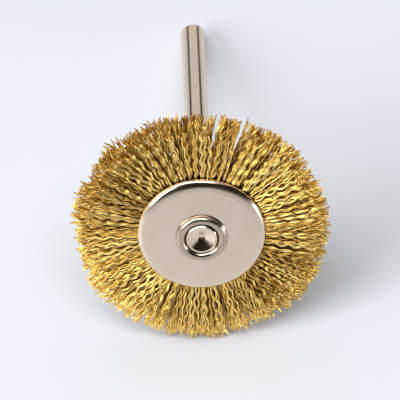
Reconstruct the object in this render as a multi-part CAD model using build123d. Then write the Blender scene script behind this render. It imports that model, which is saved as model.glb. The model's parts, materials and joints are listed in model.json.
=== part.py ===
from build123d import *
import math
import os

# Brass wire wheel brush on a steel mandrel, lying on a bench the way it comes to rest. Millimetres, +Z up.
# Every piece is drawn about the brush's own axis: local zero is the middle of the wheel, local +Z looks out of
# the wheel's face and local -Z runs down the shank. The whole stack then leans back until the lowest tuft's rear
# edge and the shank's tail both touch the bench, with the face looking towards -Y and up.

# Wire wheel
WHEEL_R = 12.0
TUFT_COUNT = 24
TUFT_GAP_DEG = 0.6
RIM_WIDTH = 3.2
CROWN_WIDTH = 2.0
CROWN_DROP = 1.0
WIRE_ROOT_R = 2.9

# Stamped flanges, one each side of the wire
FLANGE_R = 5.9
FLANGE_SHEET = 0.35
FLANGE_FACE = 1.35
FLANGE_DOME = 0.18
FLANGE_ROLL_WIDTH = 1.0
FLANGE_ROLL_DROP = 0.5
SKIRT_END = 0.65

# Ring that the wires are folded round
CORE_RING_R = 3.6
CORE_RING_WIRE_R = 0.35

# Hub eyelet, a short tube with a rolled lip at each end
EYELET_BORE_R = 1.2
EYELET_TUBE_R = 1.7
EYELET_LIP_INNER_R = 1.5
EYELET_LIP_OUTER_R = 2.42
EYELET_FLARE = 0.37

# Mandrel: shank, shoulder behind the wheel, and a nose punched open in front of it
SHANK_R = 1.175
SHANK_TAIL = 36.0
TAIL_CHAMFER = 0.3
SHOULDER_R = 2.0
SHOULDER_WIDTH = 0.9
SHOULDER_CHAMFER = 0.15
NOSE_R = 1.46
NOSE_END = 1.74
NOSE_CHAMFER = 0.08
DIMPLE_R = 1.23
DIMPLE_DEPTH = 0.6

# Room left between faces that touch in the riveted stack, and between the packed wire and the flanges
SEAT = 0.02
WIRE_SEAT = 0.05

# Share of each half-axis that a Bezier curve's handles take when it draws a quarter of an ellipse
QUARTER_HANDLE = 0.5523

# Tuft tips are clipped flat, so the wheel has one flat for each tuft, with a bevel each side of it
TUFT_PITCH = 360 / TUFT_COUNT
TIP_FLAT_R = WHEEL_R * math.cos(math.radians(TUFT_PITCH / 2))
BEVEL_R = TIP_FLAT_R - CROWN_DROP
FLANGE_HOLE_R = EYELET_TUBE_R + SEAT
ROLL_START_R = FLANGE_R - FLANGE_ROLL_WIDTH
LIP_BASE = FLANGE_FACE + SEAT
LIP_HALF_WIDTH = (EYELET_LIP_OUTER_R - EYELET_LIP_INNER_R) / 2
LIP_MIDDLE_R = (EYELET_LIP_OUTER_R + EYELET_LIP_INNER_R) / 2
SHOULDER_FACE = LIP_BASE + LIP_HALF_WIDTH + SEAT

# Lean of the brush at rest: the line that touches a tuft's rear edge and the tail's chamfer lies on the bench
LEAN = math.atan2(TIP_FLAT_R - SHANK_R, SHANK_TAIL - TAIL_CHAMFER - CROWN_WIDTH / 2)
HUB_HEIGHT = TIP_FLAT_R * math.cos(LEAN) + CROWN_WIDTH / 2 * math.sin(LEAN)
FRONT_REACH = BEVEL_R * math.sin(LEAN) + RIM_WIDTH / 2 * math.cos(LEAN)
TAIL_REACH = (SHANK_R - TAIL_CHAMFER) * math.sin(LEAN) + SHANK_TAIL * math.cos(LEAN)
HUB_Y = (FRONT_REACH - TAIL_REACH) / 2
AT_REST = Location((0, HUB_Y, HUB_HEIGHT), (90 - math.degrees(LEAN), 0, 0))


def turned(outline, degrees=360):
    """Solid of revolution about the brush's axis, from an outline drawn as radius across and height up."""
    return revolve(make_face(outline), Axis.Z, degrees)


def outline_through(points):
    """Closed straight-sided outline in the plane that holds the axis."""
    corners = [(radius, 0, height) for radius, height in points]
    return Polyline(*corners, close=True)


def mandrel():
    """Plain ground shank with a shoulder, and a nose flared by a conical punch so that it can't pull out."""
    points = [
        (0, -SHANK_TAIL),
        (SHANK_R - TAIL_CHAMFER, -SHANK_TAIL),
        (SHANK_R, -SHANK_TAIL + TAIL_CHAMFER),
        (SHANK_R, -SHOULDER_FACE - SHOULDER_WIDTH),
        (SHOULDER_R - SHOULDER_CHAMFER, -SHOULDER_FACE - SHOULDER_WIDTH),
        (SHOULDER_R, -SHOULDER_FACE - SHOULDER_WIDTH + SHOULDER_CHAMFER),
        (SHOULDER_R, -SHOULDER_FACE - SHOULDER_CHAMFER),
        (SHOULDER_R - SHOULDER_CHAMFER, -SHOULDER_FACE),
        (SHANK_R, -SHOULDER_FACE),
        (SHANK_R, LIP_BASE - EYELET_FLARE - 2 * SEAT),
        (NOSE_R, LIP_BASE - 2 * SEAT),
        (NOSE_R, NOSE_END - NOSE_CHAMFER),
        (NOSE_R - NOSE_CHAMFER, NOSE_END),
        (DIMPLE_R, NOSE_END),
        (0, NOSE_END - DIMPLE_DEPTH),
    ]
    return turned(outline_through(points))


def hub_eyelet():
    """Tube through the stack whose two ends are rolled outwards over the flanges."""
    walls = [
        Polyline(
            (EYELET_TUBE_R, 0, LIP_BASE),
            (EYELET_LIP_OUTER_R, 0, LIP_BASE),
        ),
        ThreePointArc(
            (EYELET_LIP_OUTER_R, 0, LIP_BASE),
            (LIP_MIDDLE_R, 0, LIP_BASE + LIP_HALF_WIDTH),
            (EYELET_LIP_INNER_R, 0, LIP_BASE),
        ),
        Polyline(
            (EYELET_LIP_INNER_R, 0, LIP_BASE),
            (EYELET_BORE_R, 0, LIP_BASE - EYELET_FLARE),
            (EYELET_BORE_R, 0, -LIP_BASE + EYELET_FLARE),
            (EYELET_LIP_INNER_R, 0, -LIP_BASE),
        ),
        ThreePointArc(
            (EYELET_LIP_INNER_R, 0, -LIP_BASE),
            (LIP_MIDDLE_R, 0, -LIP_BASE - LIP_HALF_WIDTH),
            (EYELET_LIP_OUTER_R, 0, -LIP_BASE),
        ),
        Polyline(
            (EYELET_LIP_OUTER_R, 0, -LIP_BASE),
            (EYELET_TUBE_R, 0, -LIP_BASE),
            (EYELET_TUBE_R, 0, LIP_BASE),
        ),
    ]
    return turned(walls)


def dome_arc(face):
    """Shallow arc of a flange's domed skin, from the hub hole out to where the edge starts to roll down."""
    middle_r = (FLANGE_HOLE_R + ROLL_START_R) / 2
    share = (middle_r**2 - FLANGE_HOLE_R**2) / (ROLL_START_R**2 - FLANGE_HOLE_R**2)
    return ThreePointArc(
        (FLANGE_HOLE_R, 0, face),
        (middle_r, 0, face - FLANGE_DOME * share),
        (ROLL_START_R, 0, face - FLANGE_DOME),
    )


def edge_roll(width, drop, face):
    """Quarter of an ellipse that carries on from the dome and turns down into the skirt."""
    start = face - FLANGE_DOME
    dome_slope = 2 * ROLL_START_R * FLANGE_DOME / (ROLL_START_R**2 - FLANGE_HOLE_R**2)
    handle = QUARTER_HANDLE * width
    return Bezier(
        (ROLL_START_R, 0, start),
        (ROLL_START_R + handle, 0, start - handle * dome_slope),
        (ROLL_START_R + width, 0, start - drop * (1 - QUARTER_HANDLE)),
        (ROLL_START_R + width, 0, start - drop),
    )


def front_flange():
    """Domed washer stamped from sheet, its rim rolled over into a short skirt that grips the wires."""
    inner_face = FLANGE_FACE - FLANGE_SHEET
    inner_r = FLANGE_R - FLANGE_SHEET
    skirt_start = FLANGE_FACE - FLANGE_DOME - FLANGE_ROLL_DROP
    walls = [
        dome_arc(FLANGE_FACE),
        edge_roll(FLANGE_ROLL_WIDTH, FLANGE_ROLL_DROP, FLANGE_FACE),
        Polyline(
            (FLANGE_R, 0, skirt_start),
            (FLANGE_R, 0, SKIRT_END),
            (inner_r, 0, SKIRT_END),
            (inner_r, 0, skirt_start),
        ),
        edge_roll(FLANGE_ROLL_WIDTH - FLANGE_SHEET, FLANGE_ROLL_DROP - FLANGE_SHEET, inner_face),
        dome_arc(inner_face),
        Line((FLANGE_HOLE_R, 0, inner_face), (FLANGE_HOLE_R, 0, FLANGE_FACE)),
    ]
    return turned(walls)


def rear_flange():
    """The same stamping, facing the shank."""
    return mirror(front_flange(), Plane.XY)


def core_ring(extra=0.0):
    """Steel ring buried in the wheel, or the groove for it when extra is the clearance round its wire."""
    return Torus(CORE_RING_R, CORE_RING_WIRE_R + extra)


def tip_envelope():
    """Block that gives a tuft its clipped flat and the two bevels beside it."""
    corners = [
        (0, -RIM_WIDTH / 2),
        (BEVEL_R, -RIM_WIDTH / 2),
        (TIP_FLAT_R, -CROWN_WIDTH / 2),
        (TIP_FLAT_R, CROWN_WIDTH / 2),
        (BEVEL_R, RIM_WIDTH / 2),
        (0, RIM_WIDTH / 2),
    ]
    return extrude(make_face(outline_through(corners)), WHEEL_R / 2, both=True)


def wire_tuft(number):
    """Wedge of packed wire: narrow where the flanges grip it and splayed at the tips, folded round the ring."""
    grip = SKIRT_END - WIRE_SEAT
    packed = FLANGE_FACE - FLANGE_DOME - FLANGE_SHEET - WIRE_SEAT
    side = [
        (WIRE_ROOT_R, packed),
        (ROLL_START_R, packed),
        (FLANGE_R - FLANGE_SHEET, grip),
        (FLANGE_R, grip),
        (BEVEL_R, RIM_WIDTH / 2),
        (WHEEL_R, RIM_WIDTH / 2),
    ]
    across = [(radius, -height) for radius, height in reversed(side)]
    spread = TUFT_PITCH - TUFT_GAP_DEG
    wedge = Rot(0, 0, -spread / 2) * turned(outline_through(side + across), spread)
    tuft = (wedge & tip_envelope()) - core_ring(SEAT)
    return Rot(0, 0, -90 + number * TUFT_PITCH) * tuft


def main():
    os.makedirs("parts", exist_ok=True)
    pieces = {
        "mandrel": mandrel(),
        "hub_eyelet": hub_eyelet(),
        "front_flange": front_flange(),
        "rear_flange": rear_flange(),
        "core_ring": core_ring(),
    }
    for number in range(TUFT_COUNT):
        pieces[f"wire_tuft_{number + 1:02d}"] = wire_tuft(number)
    for name, piece in pieces.items():
        export_step(AT_REST * piece, f"parts/{name}.step")
    print(f"lean {math.degrees(LEAN):.3f} deg, hub centre at y {HUB_Y:.3f}, z {HUB_HEIGHT:.3f}")


main()
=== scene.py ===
# %% [markdown]
# # A brass wire wheel brush for a rotary tool
# The brush is a wheel of crimped brass wires, held between two nickel-plated steel washers on a thin
# steel mandrel. It lies on a pale bench the way it comes to rest, on the lower edge of its wheel and the
# tail of its shank. The CAD model already gives the mandrel, hub, washers and core ring their true
# shapes, so those are kept and only get a finish. The wedges of solid brass that stand for the wires are
# hidden, and real wires take their place.

# %% Load the CAD model
import json
import math
import random

import bpy
from mathutils import Matrix, Vector


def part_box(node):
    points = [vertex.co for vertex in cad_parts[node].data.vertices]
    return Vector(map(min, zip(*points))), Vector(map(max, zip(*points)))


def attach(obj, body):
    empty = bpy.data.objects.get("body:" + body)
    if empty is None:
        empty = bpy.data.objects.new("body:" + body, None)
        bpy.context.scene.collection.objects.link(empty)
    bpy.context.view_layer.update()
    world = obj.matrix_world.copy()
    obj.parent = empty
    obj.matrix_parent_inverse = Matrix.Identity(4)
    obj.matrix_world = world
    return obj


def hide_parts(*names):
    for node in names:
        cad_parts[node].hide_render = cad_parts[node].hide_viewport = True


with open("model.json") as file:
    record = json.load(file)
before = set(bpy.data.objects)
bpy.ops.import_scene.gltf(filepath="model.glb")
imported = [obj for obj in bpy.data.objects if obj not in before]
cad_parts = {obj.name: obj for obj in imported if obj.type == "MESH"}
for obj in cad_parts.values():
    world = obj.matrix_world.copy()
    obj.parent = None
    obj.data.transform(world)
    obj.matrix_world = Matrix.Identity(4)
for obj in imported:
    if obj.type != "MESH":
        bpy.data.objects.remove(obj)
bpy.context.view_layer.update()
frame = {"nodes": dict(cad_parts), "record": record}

MM = 0.001
TURN = 2 * math.pi

# %% [markdown]
# ## Finding the wheel
# Everything on the brush is round about one slanted axis, and the wires are drawn about that axis too.
# The core ring is a plain torus, so the middle of its box is the middle of the wheel, and the mount on
# the shank says which way the axis runs. A matrix built from the two turns wheel coordinates into bench
# coordinates: x runs to the right, y up the wheel and z out of its face.

# %% The wheel's own axes
def box_middle(node):
    """The middle of a CAD node's box."""
    low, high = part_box(node)
    return (Vector(low) + Vector(high)) / 2


def box_width(node):
    """How wide a CAD node is across the bench, which is the diameter of a round piece."""
    low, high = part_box(node)
    return high[0] - low[0]


shank_mount = next(m for m in frame["record"]["mounts"] if m["name"] == "shank")
wheel_middle = box_middle("core_ring")
face_direction = -Vector(shank_mount["axis"]).normalized()
to_the_right = Vector((1, 0, 0))
up_the_wheel = face_direction.cross(to_the_right).normalized()
axes = Matrix((to_the_right, up_the_wheel, face_direction)).transposed()
wheel_to_bench = Matrix.Translation(wheel_middle) @ axes.to_4x4()
tufts = sorted(name for name in frame["nodes"] if name.startswith("wire_tuft"))
print("the wheel leans back", round(math.degrees(math.asin(face_direction.z)), 2), "degrees")

# %% [markdown]
# ## Camera
# The brush is seen from above and in front, about 32 degrees off the wheel's face, from a few hand-widths
# away. A long lens at that distance keeps the gentle perspective of a product shot. The camera is aimed
# with a direction turned into a rotation, plus a small roll, because the brush doesn't lie quite square
# to the view.

# %% Camera
VIEW_ELEVATION = math.radians(49.5)
VIEW_AZIMUTH = math.radians(0.3)
VIEW_ROLL = math.radians(-3.0)
VIEW_DISTANCE = 400 * MM
VIEW_WIDTH = 37 * MM
LOOK_BEHIND_WHEEL = 3.6 * MM

view_from = Vector((
    math.sin(VIEW_AZIMUTH) * math.cos(VIEW_ELEVATION),
    -math.cos(VIEW_AZIMUTH) * math.cos(VIEW_ELEVATION),
    math.sin(VIEW_ELEVATION),
))
look_at = wheel_middle + Vector((0.0, LOOK_BEHIND_WHEEL, 0.0))
camera_data = bpy.data.cameras.new("studio_camera")
camera_data.sensor_width = 36
camera_data.lens = camera_data.sensor_width * VIEW_DISTANCE / VIEW_WIDTH
camera_data.clip_start = 0.01
camera = bpy.data.objects.new("studio_camera", camera_data)
camera.location = look_at + view_from * VIEW_DISTANCE
aim = (-view_from).to_track_quat("-Z", "Y").to_matrix()
camera.rotation_euler = (aim @ Matrix.Rotation(VIEW_ROLL, 3, "Z")).to_euler()
bpy.context.scene.collection.objects.link(camera)
bpy.context.scene.camera = camera
print("lens, mm:", round(camera_data.lens, 1))

# %% [markdown]
# ## A helper for node trees
# Every finish below is a small tree of shader nodes. Writing them all out is long, so one function adds a
# node of any kind, sets its properties and fills its sockets: a plain value is typed in, and an output of
# another node is linked.

# %% Node and colour helpers
def add_node(tree, kind, settings=None, **sockets):
    """Adds a node. settings are its properties; sockets are its inputs, by name or by i0, i1 and so on."""
    node = tree.nodes.new(kind)
    for name, value in (settings or {}).items():
        setattr(node, name, value)
    for name, value in sockets.items():
        by_number = name[0] == "i" and name[1:].isdigit()
        socket = node.inputs[int(name[1:])] if by_number else node.inputs[name.replace("_", " ")]
        if isinstance(value, bpy.types.NodeSocket):
            tree.links.new(value, socket)
        else:
            socket.default_value = value
    return node


def linear(hex_colour):
    """Turns an sRGB hex colour into the linear red, green, blue and alpha that shaders use."""
    channels = [int(hex_colour[i:i + 2], 16) / 255 for i in (1, 3, 5)]
    return tuple(c / 12.92 if c <= 0.04045 else ((c + 0.055) / 1.055) ** 2.4 for c in channels) + (1.0,)


def new_material(name):
    """An empty material with its output node."""
    material = bpy.data.materials.new(name)
    material.use_nodes = True
    material.node_tree.nodes.clear()
    return material, material.node_tree, material.node_tree.nodes.new("ShaderNodeOutputMaterial")


# %% [markdown]
# ## Studio
# The bench is a sheet of pale acrylic with a soft gloss, inside a white light tent. The tent is bright
# all round, except for the opening on the viewer's side, where a dim brown room shows above a low white
# sill. That opening matters: polished metal looks like metal only when it has something dark to mirror
# beside something bright, and here it draws the dark arc along the washer's upper edge. The sill fades
# into the opening, so the arc fades inwards too. The camera itself sees pale cloth everywhere, which the
# Light Path node makes possible.

# %% Bench
BENCH_SIZE = 6.0
ACRYLIC = "#E5E8F0"

bench_mesh = bpy.data.meshes.new("bench")
half = BENCH_SIZE / 2
corners = [(-half, -half, 0), (half, -half, 0), (half, half, 0), (-half, half, 0)]
bench_mesh.from_pydata(corners, [], [(0, 1, 2, 3)])
bench = bpy.data.objects.new("bench", bench_mesh)
bpy.context.scene.collection.objects.link(bench)

bench_finish, tree, output = new_material("pale_satin_acrylic")
acrylic = add_node(tree, "ShaderNodeBsdfPrincipled", Base_Color=linear(ACRYLIC), Roughness=0.35, IOR=1.49)
tree.links.new(acrylic.outputs[0], output.inputs[0])
bench_mesh.materials.append(bench_finish)
print("bench:", BENCH_SIZE, "m square")

# %% [markdown]
# ## Light tent
# The tent is painted on the world by direction. A colour ramp of a direction's height makes the band of
# the opening, between its sill and its head, and a second factor keeps the band to one side. Two low dark
# gaps at the tent's back corners, where its cloths don't quite meet, draw a dark line along each side of
# the shank. Taking the absolute value of x makes both gaps at once. Angles are in degrees, above the
# bench for heights and away from the middle of the dark part for edges, each a pair for where the fade
# starts and ends.

# %% Light tent
TENT_SIDES = 0.86
TENT_TOP = 0.35
OPENING_SILL = (1, 16)
OPENING_HEAD = (50, 56)
OPENING_AZIMUTH = math.radians(24)
OPENING_EDGE = (88, 66)
CORNER_AZIMUTH = math.radians(29)
CORNER_EDGE = (16, 6)
DIM_ROOM = "#2A1F16"
PALE_BACKDROP = "#E9EDF6"


def sine(degrees):
    """Height of a direction this far above the horizon."""
    return math.sin(math.radians(degrees))


def grey(level):
    """A neutral colour of this brightness."""
    return (level, level, level, 1.0)


def near(tree, direction, middle, edge):
    """A factor of 1 within edge[1] degrees of the middle direction, which falls to 0 at edge[0] degrees."""
    closeness = add_node(tree, "ShaderNodeVectorMath", {"operation": "DOT_PRODUCT"}, i0=direction, i1=middle)
    starts, ends = (math.cos(math.radians(angle)) for angle in edge)
    return add_node(tree, "ShaderNodeMapRange", {"interpolation_type": "SMOOTHSTEP"},
                    Value=closeness.outputs["Value"], From_Min=starts, From_Max=ends).outputs[0]


# %% Tent cloth and its opening
world = bpy.data.worlds.new("light_tent")
bpy.context.scene.world = world
world.use_nodes = True
tree = world.node_tree
tree.nodes.clear()
where = add_node(tree, "ShaderNodeTexCoord").outputs["Generated"]
along = add_node(tree, "ShaderNodeSeparateXYZ", i0=where)
up = along.outputs["Z"]
cloth = add_node(tree, "ShaderNodeMapRange", Value=up, To_Min=TENT_SIDES, To_Max=TENT_TOP)
band = add_node(tree, "ShaderNodeValToRGB", Fac=up)
band.color_ramp.elements[0].position = sine(OPENING_SILL[0])
band.color_ramp.elements[1].position = sine(OPENING_HEAD[1])
band.color_ramp.elements[1].color = grey(0)
band.color_ramp.elements.new(sine(OPENING_SILL[1])).color = grey(1)
band.color_ramp.elements.new(sine(OPENING_HEAD[0])).color = grey(1)
opening_at = (math.sin(OPENING_AZIMUTH), -math.cos(OPENING_AZIMUTH), 0.0)
opening = add_node(tree, "ShaderNodeMath", {"operation": "MULTIPLY"},
                   i0=band.outputs[0], i1=near(tree, where, opening_at, OPENING_EDGE))
to_side = add_node(tree, "ShaderNodeMath", {"operation": "ABSOLUTE"}, i0=along.outputs["X"])
either_side = add_node(tree, "ShaderNodeCombineXYZ", X=to_side.outputs[0], Y=along.outputs["Y"], Z=up)
corner_at = (math.sin(CORNER_AZIMUTH), math.cos(CORNER_AZIMUTH), 0.0)
dark = add_node(tree, "ShaderNodeMath", {"operation": "MAXIMUM"},
                i0=opening.outputs[0], i1=near(tree, either_side.outputs[0], corner_at, CORNER_EDGE))
tent = add_node(tree, "ShaderNodeMix", {"data_type": "RGBA"},
                i0=dark.outputs[0], i6=cloth.outputs[0], i7=linear(DIM_ROOM))
seen = add_node(tree, "ShaderNodeLightPath").outputs["Is Camera Ray"]
backdrop = add_node(tree, "ShaderNodeMix", {"data_type": "RGBA"},
                    i0=seen, i6=tent.outputs[2], i7=linear(PALE_BACKDROP))
glow = add_node(tree, "ShaderNodeBackground", Color=backdrop.outputs[2], Strength=1.0)
world_output = tree.nodes.new("ShaderNodeOutputWorld")
tree.links.new(glow.outputs[0], world_output.inputs[0])

bpy.context.scene.view_settings.view_transform = "Standard"
print("light tent: opening from", OPENING_SILL[0], "to", OPENING_HEAD[1], "degrees above the bench")

# %% [markdown]
# ## Softboxes
# Three rectangular lamps add to the tent. The key comes from the upper left, the top one draws the bright
# line along the washer's rim, and the low one, on the right, rakes along the wires and fills the shadow.
# Places and sizes are in metres and power is in watts.

# %% Softboxes
def softbox(name, place, target, width, height, power):
    """A rectangular area lamp at place, aimed at target."""
    lamp = bpy.data.lights.new(name, "AREA")
    lamp.shape = "RECTANGLE"
    lamp.size = width
    lamp.size_y = height
    lamp.energy = power
    holder = bpy.data.objects.new(name, lamp)
    holder.location = place
    holder.rotation_euler = (Vector(target) - Vector(place)).to_track_quat("-Z", "Y").to_euler()
    bpy.context.scene.collection.objects.link(holder)


softbox("key_softbox", (-0.39, -0.27, 0.29), wheel_middle, 0.30, 0.30, 1.8)
softbox("low_softbox", (0.45, -0.22, 0.04), wheel_middle, 0.26, 0.07, 0.5)
softbox("top_softbox", (-0.08, -0.20, 0.62), wheel_middle, 0.66, 0.26, 2.3)
print("softboxes:", len(bpy.data.lights))

# %% [markdown]
# ## Nickel plate
# The mandrel, the washers and the hub are mild steel with a thin bright nickel plate. Nickel is a
# slightly warm grey metal. Each piece was made another way, and that shows in the plate: the shank was
# ground, which leaves fine rings round it, the washers were stamped and then tumbled bright, which leaves
# only small random dents, and the hub's lip was rolled over by a tool, which leaves it duller. The hub
# also gets a darker, greyer copy of the nickel colours, which is painted shade. One function makes the
# plate, and the marks of each way of making are a bump that is passed in.

# %% Wheel coordinates for patterns
def wheel_coordinates(tree):
    """Object coordinates turned so that z runs along the brush's axis, in metres."""
    spin = wheel_to_bench.inverted().to_euler()
    shift = wheel_to_bench.inverted().to_translation()
    place = add_node(tree, "ShaderNodeTexCoord").outputs["Object"]
    return add_node(tree, "ShaderNodeMapping", {"vector_type": "POINT"},
                    Vector=place, Rotation=tuple(spin), Location=tuple(shift)).outputs[0]


# %% Shared nickel plate
BRIGHT_NICKEL = ("#E6D6C4", "#DBC8B2")
# The second pair is a darker, greyer copy of the nickel colours: painted shade for the hub.
PAINTED_SHADE_NICKEL = ("#C4B6A5", "#B2A28E")
PATCHES_PER_M = 420.0


def nickel_plate(name, roughness, roughness_change, marks, marks_depth_mm, colours=BRIGHT_NICKEL):
    """Nickel-plated steel in two close colours. marks(tree, place) gives its tool marks, from 0 to 1."""
    material, tree, output = new_material(name)
    place = wheel_coordinates(tree)
    patches = add_node(tree, "ShaderNodeTexNoise", Vector=place, Scale=PATCHES_PER_M, Detail=3.0)
    tone = add_node(tree, "ShaderNodeMix", {"data_type": "RGBA"}, i0=patches.outputs[0],
                    i6=linear(colours[0]), i7=linear(colours[1]))
    wear = add_node(tree, "ShaderNodeMapRange", Value=patches.outputs[0], From_Min=0.3, From_Max=0.7,
                    To_Min=roughness - roughness_change, To_Max=roughness + roughness_change)
    relief = add_node(tree, "ShaderNodeBump", Height=marks(tree, place), Strength=0.6,
                      Distance=marks_depth_mm * MM)
    plate = add_node(tree, "ShaderNodeBsdfPrincipled", Base_Color=tone.outputs[2], Metallic=1.0,
                     Roughness=wear.outputs[0], Normal=relief.outputs[0])
    tree.links.new(plate.outputs[0], output.inputs[0])
    return material


def grinding_rings(tree, place):
    """Rings round the axis, 0.08 mm apart and uneven, coarser than real ones so that they show."""
    stretched = add_node(tree, "ShaderNodeMapping", Vector=place, Scale=(90.0, 90.0, 12000.0))
    return add_node(tree, "ShaderNodeTexNoise", Vector=stretched.outputs[0], Scale=1.0, Detail=3.0).outputs[0]


def tumbling_scratches(tree, place):
    """Fine random dents and hairlines about 0.15 mm across."""
    return add_node(tree, "ShaderNodeTexNoise", Vector=place, Scale=6500.0, Detail=4.0).outputs[0]


def rolling_marks(tree, place):
    """Faint patches that the rolling tool leaves on the lip, about 0.4 mm across."""
    return add_node(tree, "ShaderNodeTexNoise", Vector=place, Scale=2500.0, Detail=2.0).outputs[0]


ground_nickel = nickel_plate("ground_nickel_plated_steel", 0.13, 0.03, grinding_rings, 0.005)
stamped_nickel = nickel_plate("stamped_nickel_plated_steel", 0.15, 0.04, tumbling_scratches, 0.003)
# The hub's darker, greyer nickel colours are painted shade.
rolled_nickel = nickel_plate("rolled_nickel_with_painted_shade", 0.20, 0.05, rolling_marks, 0.004,
                             colours=PAINTED_SHADE_NICKEL)
drawn_steel = nickel_plate("drawn_steel_wire", 0.35, 0.05, grinding_rings, 0.006)

finishes = {
    "mandrel": ground_nickel,
    "hub_eyelet": rolled_nickel,
    "front_flange": stamped_nickel,
    "rear_flange": stamped_nickel,
    "core_ring": drawn_steel,
}
for node, finish in finishes.items():
    for slot in frame["nodes"][node].material_slots:
        slot.material = finish
print("finished:", ", ".join(finishes))

# %% [markdown]
# ## Brass wire
# The wire is drawn yellow brass, 0.12 mm thick, crimped into a wave so that neighbouring wires hold each
# other apart. Drawn brass is smooth and bright, but no two wires are quite the same colour: some have
# tarnished a little browner. Random Per Island gives every separate wire in a mesh its own number, so one
# material can tint each wire by itself, and a noise along the wire adds the patches that fingers and air
# leave. The wires deep between the washers and near the axis get painted shade. This is a brown that a
# second factor mixes in by the distance from the wheel's middle plane and from its axis, so the outer
# wires and the tips stay bright. Those distances are in millimetres. The patches of the noise are about
# a millimetre across.

# %% Brass finish
# Painted shade: the brown is full at the first distance of each pair and gone at the second, off the middle
# plane and out from the axis.
FULL_SHADE_TO = 0.15
NO_SHADE_FROM = 0.60
FULL_SHADE_R = 7.5
NO_SHADE_R = 10.5
DARKEST_WIRE = "#DEAE52"
USUAL_WIRE = "#F6D478"
BRIGHTEST_WIRE = "#FFE696"
FINGER_TARNISH = "#BE9442"
PAINTED_INNER_SHADE = "#946A2A"


def brass_wire_finish():
    """Drawn yellow brass, a little different from wire to wire."""
    material, tree, output = new_material("drawn_yellow_brass")
    own_number = add_node(tree, "ShaderNodeNewGeometry").outputs["Random Per Island"]
    wire_colour = add_node(tree, "ShaderNodeValToRGB", Fac=own_number)
    wire_colour.color_ramp.elements[0].color = linear(DARKEST_WIRE)
    wire_colour.color_ramp.elements[1].color = linear(BRIGHTEST_WIRE)
    wire_colour.color_ramp.elements.new(0.35).color = linear(USUAL_WIRE)
    bench_place = add_node(tree, "ShaderNodeTexCoord").outputs["Object"]
    patches = add_node(tree, "ShaderNodeTexNoise", Vector=bench_place, Scale=900.0, Detail=2.0)
    handled = add_node(tree, "ShaderNodeMapRange", Value=patches.outputs[0], From_Min=0.45, From_Max=0.75,
                       To_Min=0.0, To_Max=0.45)
    outer_colour = add_node(tree, "ShaderNodeMix", {"data_type": "RGBA"}, i0=handled.outputs[0],
                            i6=wire_colour.outputs[0], i7=linear(FINGER_TARNISH))
    wheel_place = wheel_coordinates(tree)
    # The mask of the painted shade, from the distance off the middle plane and the distance from the axis.
    height = add_node(tree, "ShaderNodeSeparateXYZ", i0=wheel_place).outputs["Z"]
    off_middle = add_node(tree, "ShaderNodeMath", {"operation": "ABSOLUTE"}, i0=height)
    shade_fades_by_height = add_node(tree, "ShaderNodeMapRange", Value=off_middle.outputs[0],
                           From_Min=FULL_SHADE_TO * MM, From_Max=NO_SHADE_FROM * MM)
    off_axis = add_node(tree, "ShaderNodeVectorMath", {"operation": "LENGTH"}, i0=wheel_place)
    shade_fades_by_radius = add_node(tree, "ShaderNodeMapRange", Value=off_axis.outputs["Value"],
                         From_Min=FULL_SHADE_R * MM, From_Max=NO_SHADE_R * MM)
    painted_shade_gone = add_node(tree, "ShaderNodeMath", {"operation": "MAXIMUM"},
                      i0=shade_fades_by_height.outputs[0], i1=shade_fades_by_radius.outputs[0])
    # Mixes the painted shade brown into the wire colour.
    colour = add_node(tree, "ShaderNodeMix", {"data_type": "RGBA"}, i0=painted_shade_gone.outputs[0],
                      i6=linear(PAINTED_INNER_SHADE), i7=outer_colour.outputs[2])
    polish = add_node(tree, "ShaderNodeMapRange", Value=patches.outputs[0], To_Min=0.14, To_Max=0.26)
    brass = add_node(tree, "ShaderNodeBsdfPrincipled", Base_Color=colour.outputs[2], Metallic=1.0,
                     Roughness=polish.outputs[0])
    tree.links.new(brass.outputs[0], output.inputs[0])
    return material


drawn_brass = brass_wire_finish()
print("brass:", drawn_brass.name)

# %% [markdown]
# ## The run of one wire
# Each wire is a hairpin: it starts at a tip on the front of the wheel, runs in to the core ring, folds
# round it and runs out to a tip on the back. Its centre line is worked out in wheel coordinates, as a
# distance from the axis, a distance round the wheel and a height off its middle. Between the washers the
# wires lie close, and outside them they splay, so the height grows with the distance. Work has pushed the
# tips back a little. The crimp is a sine wave added to that line. Sizes are in millimetres.

# %% Sizes of the wheel
WIRE_R = 0.06
TIP_R = 11.75
CROWN_DROP = 1.5
GRIP_HEIGHT = 0.52
RIM_HEIGHT = 1.45
LEAN_BACK = 0.6
SPLAY_CURVE = 0.85
CRIMP_LENGTH = 1.35
CRIMP_DEPTH = 0.11
CRIMP_STARTS_INSIDE = 0.8
CRIMP_GROWS_OVER = 2.0
POINTS_PER_CRIMP = 6
RING_R = 3.6
RING_WIRE_R = 0.35
FOLD_CLEARANCE = (0.10, 0.35)
FOLD_STEPS = 6
ARM_START_R = 4.6
NEST_IN_GRIP = 0.6
NEST_OPENS_BY = 0.7

grip_r = box_width("front_flange") / 2 / MM
pitch = TURN / len(tufts)
print("washers grip the wires out to", round(grip_r, 2), "mm;", len(tufts), "tufts")

# %% [markdown]
# The arms and the fold are two functions. An arm is sampled six times in each wave of its crimp, which is
# enough for a smooth wire and keeps the mesh light. The factor called out runs from 0 at the washers'
# edge to 1 at the tips, and everything that loosens towards the tips is multiplied by it.

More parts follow.
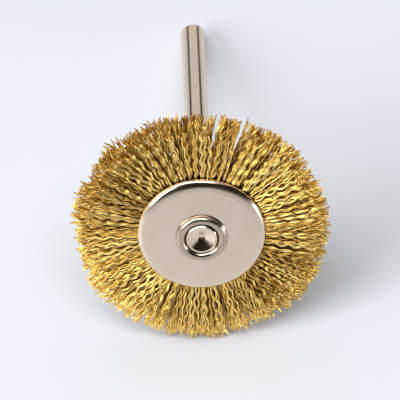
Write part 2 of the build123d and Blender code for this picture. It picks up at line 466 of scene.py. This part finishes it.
# %% One wire's centre line
def arm(strand, wire, side):
    """Points of one arm, from inside the washers out to its tip, in wheel coordinates and mm."""
    end_r = TIP_R - CROWN_DROP * strand["height"] ** 2 + wire["longer"] + strand["longer"]
    count = round((end_r - ARM_START_R) / CRIMP_LENGTH * POINTS_PER_CRIMP) + 1
    points = []
    for i in range(count):
        r = ARM_START_R + (end_r - ARM_START_R) * i / (count - 1)
        out = max(0.0, (r - grip_r) / (TIP_R - grip_r))
        loose = min(1.0, max(0.0, (r - grip_r + CRIMP_STARTS_INSIDE) / CRIMP_GROWS_OVER))
        wave = CRIMP_DEPTH * wire["depth"] * loose * math.sin(TURN * r / wire["crimp"] + wire["phase"])
        apart = NEST_IN_GRIP + NEST_OPENS_BY * out
        sideways = wire["across"] * apart + strand["bend"] * out ** 2 + wire["fray"] * out ** 3
        sideways += wave * math.cos(wire["plane"])
        splay = GRIP_HEIGHT + (RIM_HEIGHT - GRIP_HEIGHT) * out ** SPLAY_CURVE
        height = side * strand["height"] * splay + wire["up"] * apart + wire["lift"] * out ** 3
        height += wave * math.sin(wire["plane"]) - LEAN_BACK * out
        angle = strand["angle"] * (1 - strand["gather"] * out) + strand["centre"] + sideways / r
        points.append((r * math.cos(angle), r * math.sin(angle), height))
    return points


def hairpin(front, back, fold_r):
    """The whole centre line: in along the front arm, round the core ring and out along the back arm."""
    angle_in = math.atan2(front[0][1], front[0][0])
    turn_by = math.remainder(math.atan2(back[0][1], back[0][0]) - angle_in, TURN)
    fold = []
    for i in range(FOLD_STEPS + 1):
        t = i / FOLD_STEPS
        r = RING_R - fold_r * math.sin(math.pi * t)
        angle = angle_in + turn_by * t
        fold.append((r * math.cos(angle), r * math.sin(angle), fold_r * math.cos(math.pi * t)))
    return front[::-1] + fold + back


# %% [markdown]
# ## A tuft
# Crimped wires nest in each other, so they don't stand singly: a few that share a wave cling together as
# a strand, and the strands make a tuft. Each tuft draws its strands on a jittered grid, so that it is
# filled evenly without looking ruled, and each strand draws its wires close about its middle. Numbers
# drawn from a seeded generator make the same brush each time. Most of them come from gauss, whose second
# number says how far they stray: radians for a phase or a plane, and millimetres for a length, a bend or
# a lift.

# %% Strands and wires of one tuft
STRAND_COLUMNS = 6
STRAND_ROWS = 3
WIRES_PER_STRAND = 4
NEST_R = 0.13
STRAY_SHARE = 0.06


def draw_strand(dice, tuft, column, row):
    """One strand's place in its tuft and its habits. Every other row is moved half a column sideways."""
    spread = (column + 0.5 + dice.uniform(-0.35, 0.35) + 0.5 * (row % 2) - 0.25) / STRAND_COLUMNS - 0.5
    return {
        "centre": tuft["centre"],
        "angle": spread * pitch,
        "gather": tuft["gather"],
        "height": (row + 0.5 + dice.uniform(-0.4, 0.4)) / STRAND_ROWS,
        "phase": tuft["phase"] + dice.gauss(0, 1.2),
        "plane": dice.gauss(0, 0.8),
        "crimp": CRIMP_LENGTH * dice.gauss(1.0, 0.03),
        "bend": tuft["bend"] + dice.gauss(0, 0.28),
        "longer": tuft["longer"] + dice.gauss(0, 0.10),
    }


def draw_wire(dice, strand):
    """One wire's place in its strand, and how far it strays from it."""
    round_it = dice.uniform(0, TURN)
    off = NEST_R * math.sqrt(dice.random())
    stray = dice.random() < STRAY_SHARE
    return {
        "across": off * math.cos(round_it),
        "up": off * math.sin(round_it),
        "phase": strand["phase"] + dice.gauss(0, 0.20),
        "plane": strand["plane"] + dice.gauss(0, 0.15),
        "depth": dice.uniform(0.85, 1.15),
        "crimp": strand["crimp"] * dice.gauss(1.0, 0.01),
        "fray": dice.gauss(0, 0.45 if stray else 0.18),
        "lift": dice.gauss(0, 0.35 if stray else 0.12),
        "longer": dice.gauss(0, 0.16),
    }


def tuft_lines(dice, tuft):
    """Centre lines of every wire in a tuft."""
    lines = []
    for row in range(STRAND_ROWS):
        for column in range(STRAND_COLUMNS):
            front = draw_strand(dice, tuft, column, row)
            back = draw_strand(dice, tuft, column, row)
            for _ in range(WIRES_PER_STRAND):
                arms = [arm(s, draw_wire(dice, s), side) for s, side in ((front, 1), (back, -1))]
                closest, farthest = (RING_WIRE_R + clearance for clearance in FOLD_CLEARANCE)
                lines.append(hairpin(*arms, dice.uniform(closest, farthest)))
    return lines


# %% [markdown]
# ## From lines to wire
# A Blender curve with a bevel is a round wire along any line, with its ends capped, and it keeps the
# wire's section from twisting. The curve is then turned into a plain mesh, which renders and exports the
# same everywhere. Where a wire would go through the bench, it lies on it instead, as the real tips do.

# %% Wire meshes
def on_the_bench(point):
    """A wheel point in bench coordinates and metres, never lower than a wire lying on the bench."""
    place = wheel_to_bench @ (Vector(point) * MM)
    place.z = max(place.z, WIRE_R * MM)
    return place


def wire_piece(name, lines):
    """A mesh of round wires along these lines."""
    curve = bpy.data.curves.new(name, "CURVE")
    curve.dimensions = "3D"
    curve.bevel_depth = WIRE_R * MM
    curve.bevel_resolution = 1
    curve.use_fill_caps = True
    for line in lines:
        spline = curve.splines.new("POLY")
        spline.points.add(len(line) - 1)
        for spline_point, point in zip(spline.points, line):
            spline_point.co = (*on_the_bench(point), 1)
    drawn = bpy.data.objects.new(name, curve)
    piece = bpy.data.objects.new(name, bpy.data.meshes.new_from_object(drawn))
    bpy.data.objects.remove(drawn)
    bpy.data.curves.remove(curve)
    piece.data.name = name
    piece.data.materials.append(drawn_brass)
    piece.data.shade_smooth()
    bpy.context.scene.collection.objects.link(piece)
    return piece


# %% [markdown]
# ## The whole wheel
# Each CAD wedge gives way to one piece of real wires. The tufts differ a little in length and lean, and
# at the top of the wheel one tuft has drawn together and left a notch on each side of it.

# %% All the tufts
FIRST_SEED = 700
SEPARATE_TUFT = 11
SEPARATE_GATHER = 0.45

faces = 0
for number, node in enumerate(tufts):
    dice = random.Random(FIRST_SEED + number)
    tuft = {
        "centre": math.radians(-90) + number * pitch,
        "gather": SEPARATE_GATHER if number == SEPARATE_TUFT else dice.uniform(0.0, 0.18),
        "phase": 1.6 * math.sin(number * 1.7),
        "bend": dice.gauss(0, 0.12),
        "longer": dice.gauss(0, 0.14),
    }
    piece = wire_piece(node + "_wires", tuft_lines(dice, tuft))
    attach(piece, "root")
    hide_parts(node)
    faces += len(piece.data.polygons)
print(len(tufts), "tufts,", faces, "faces")
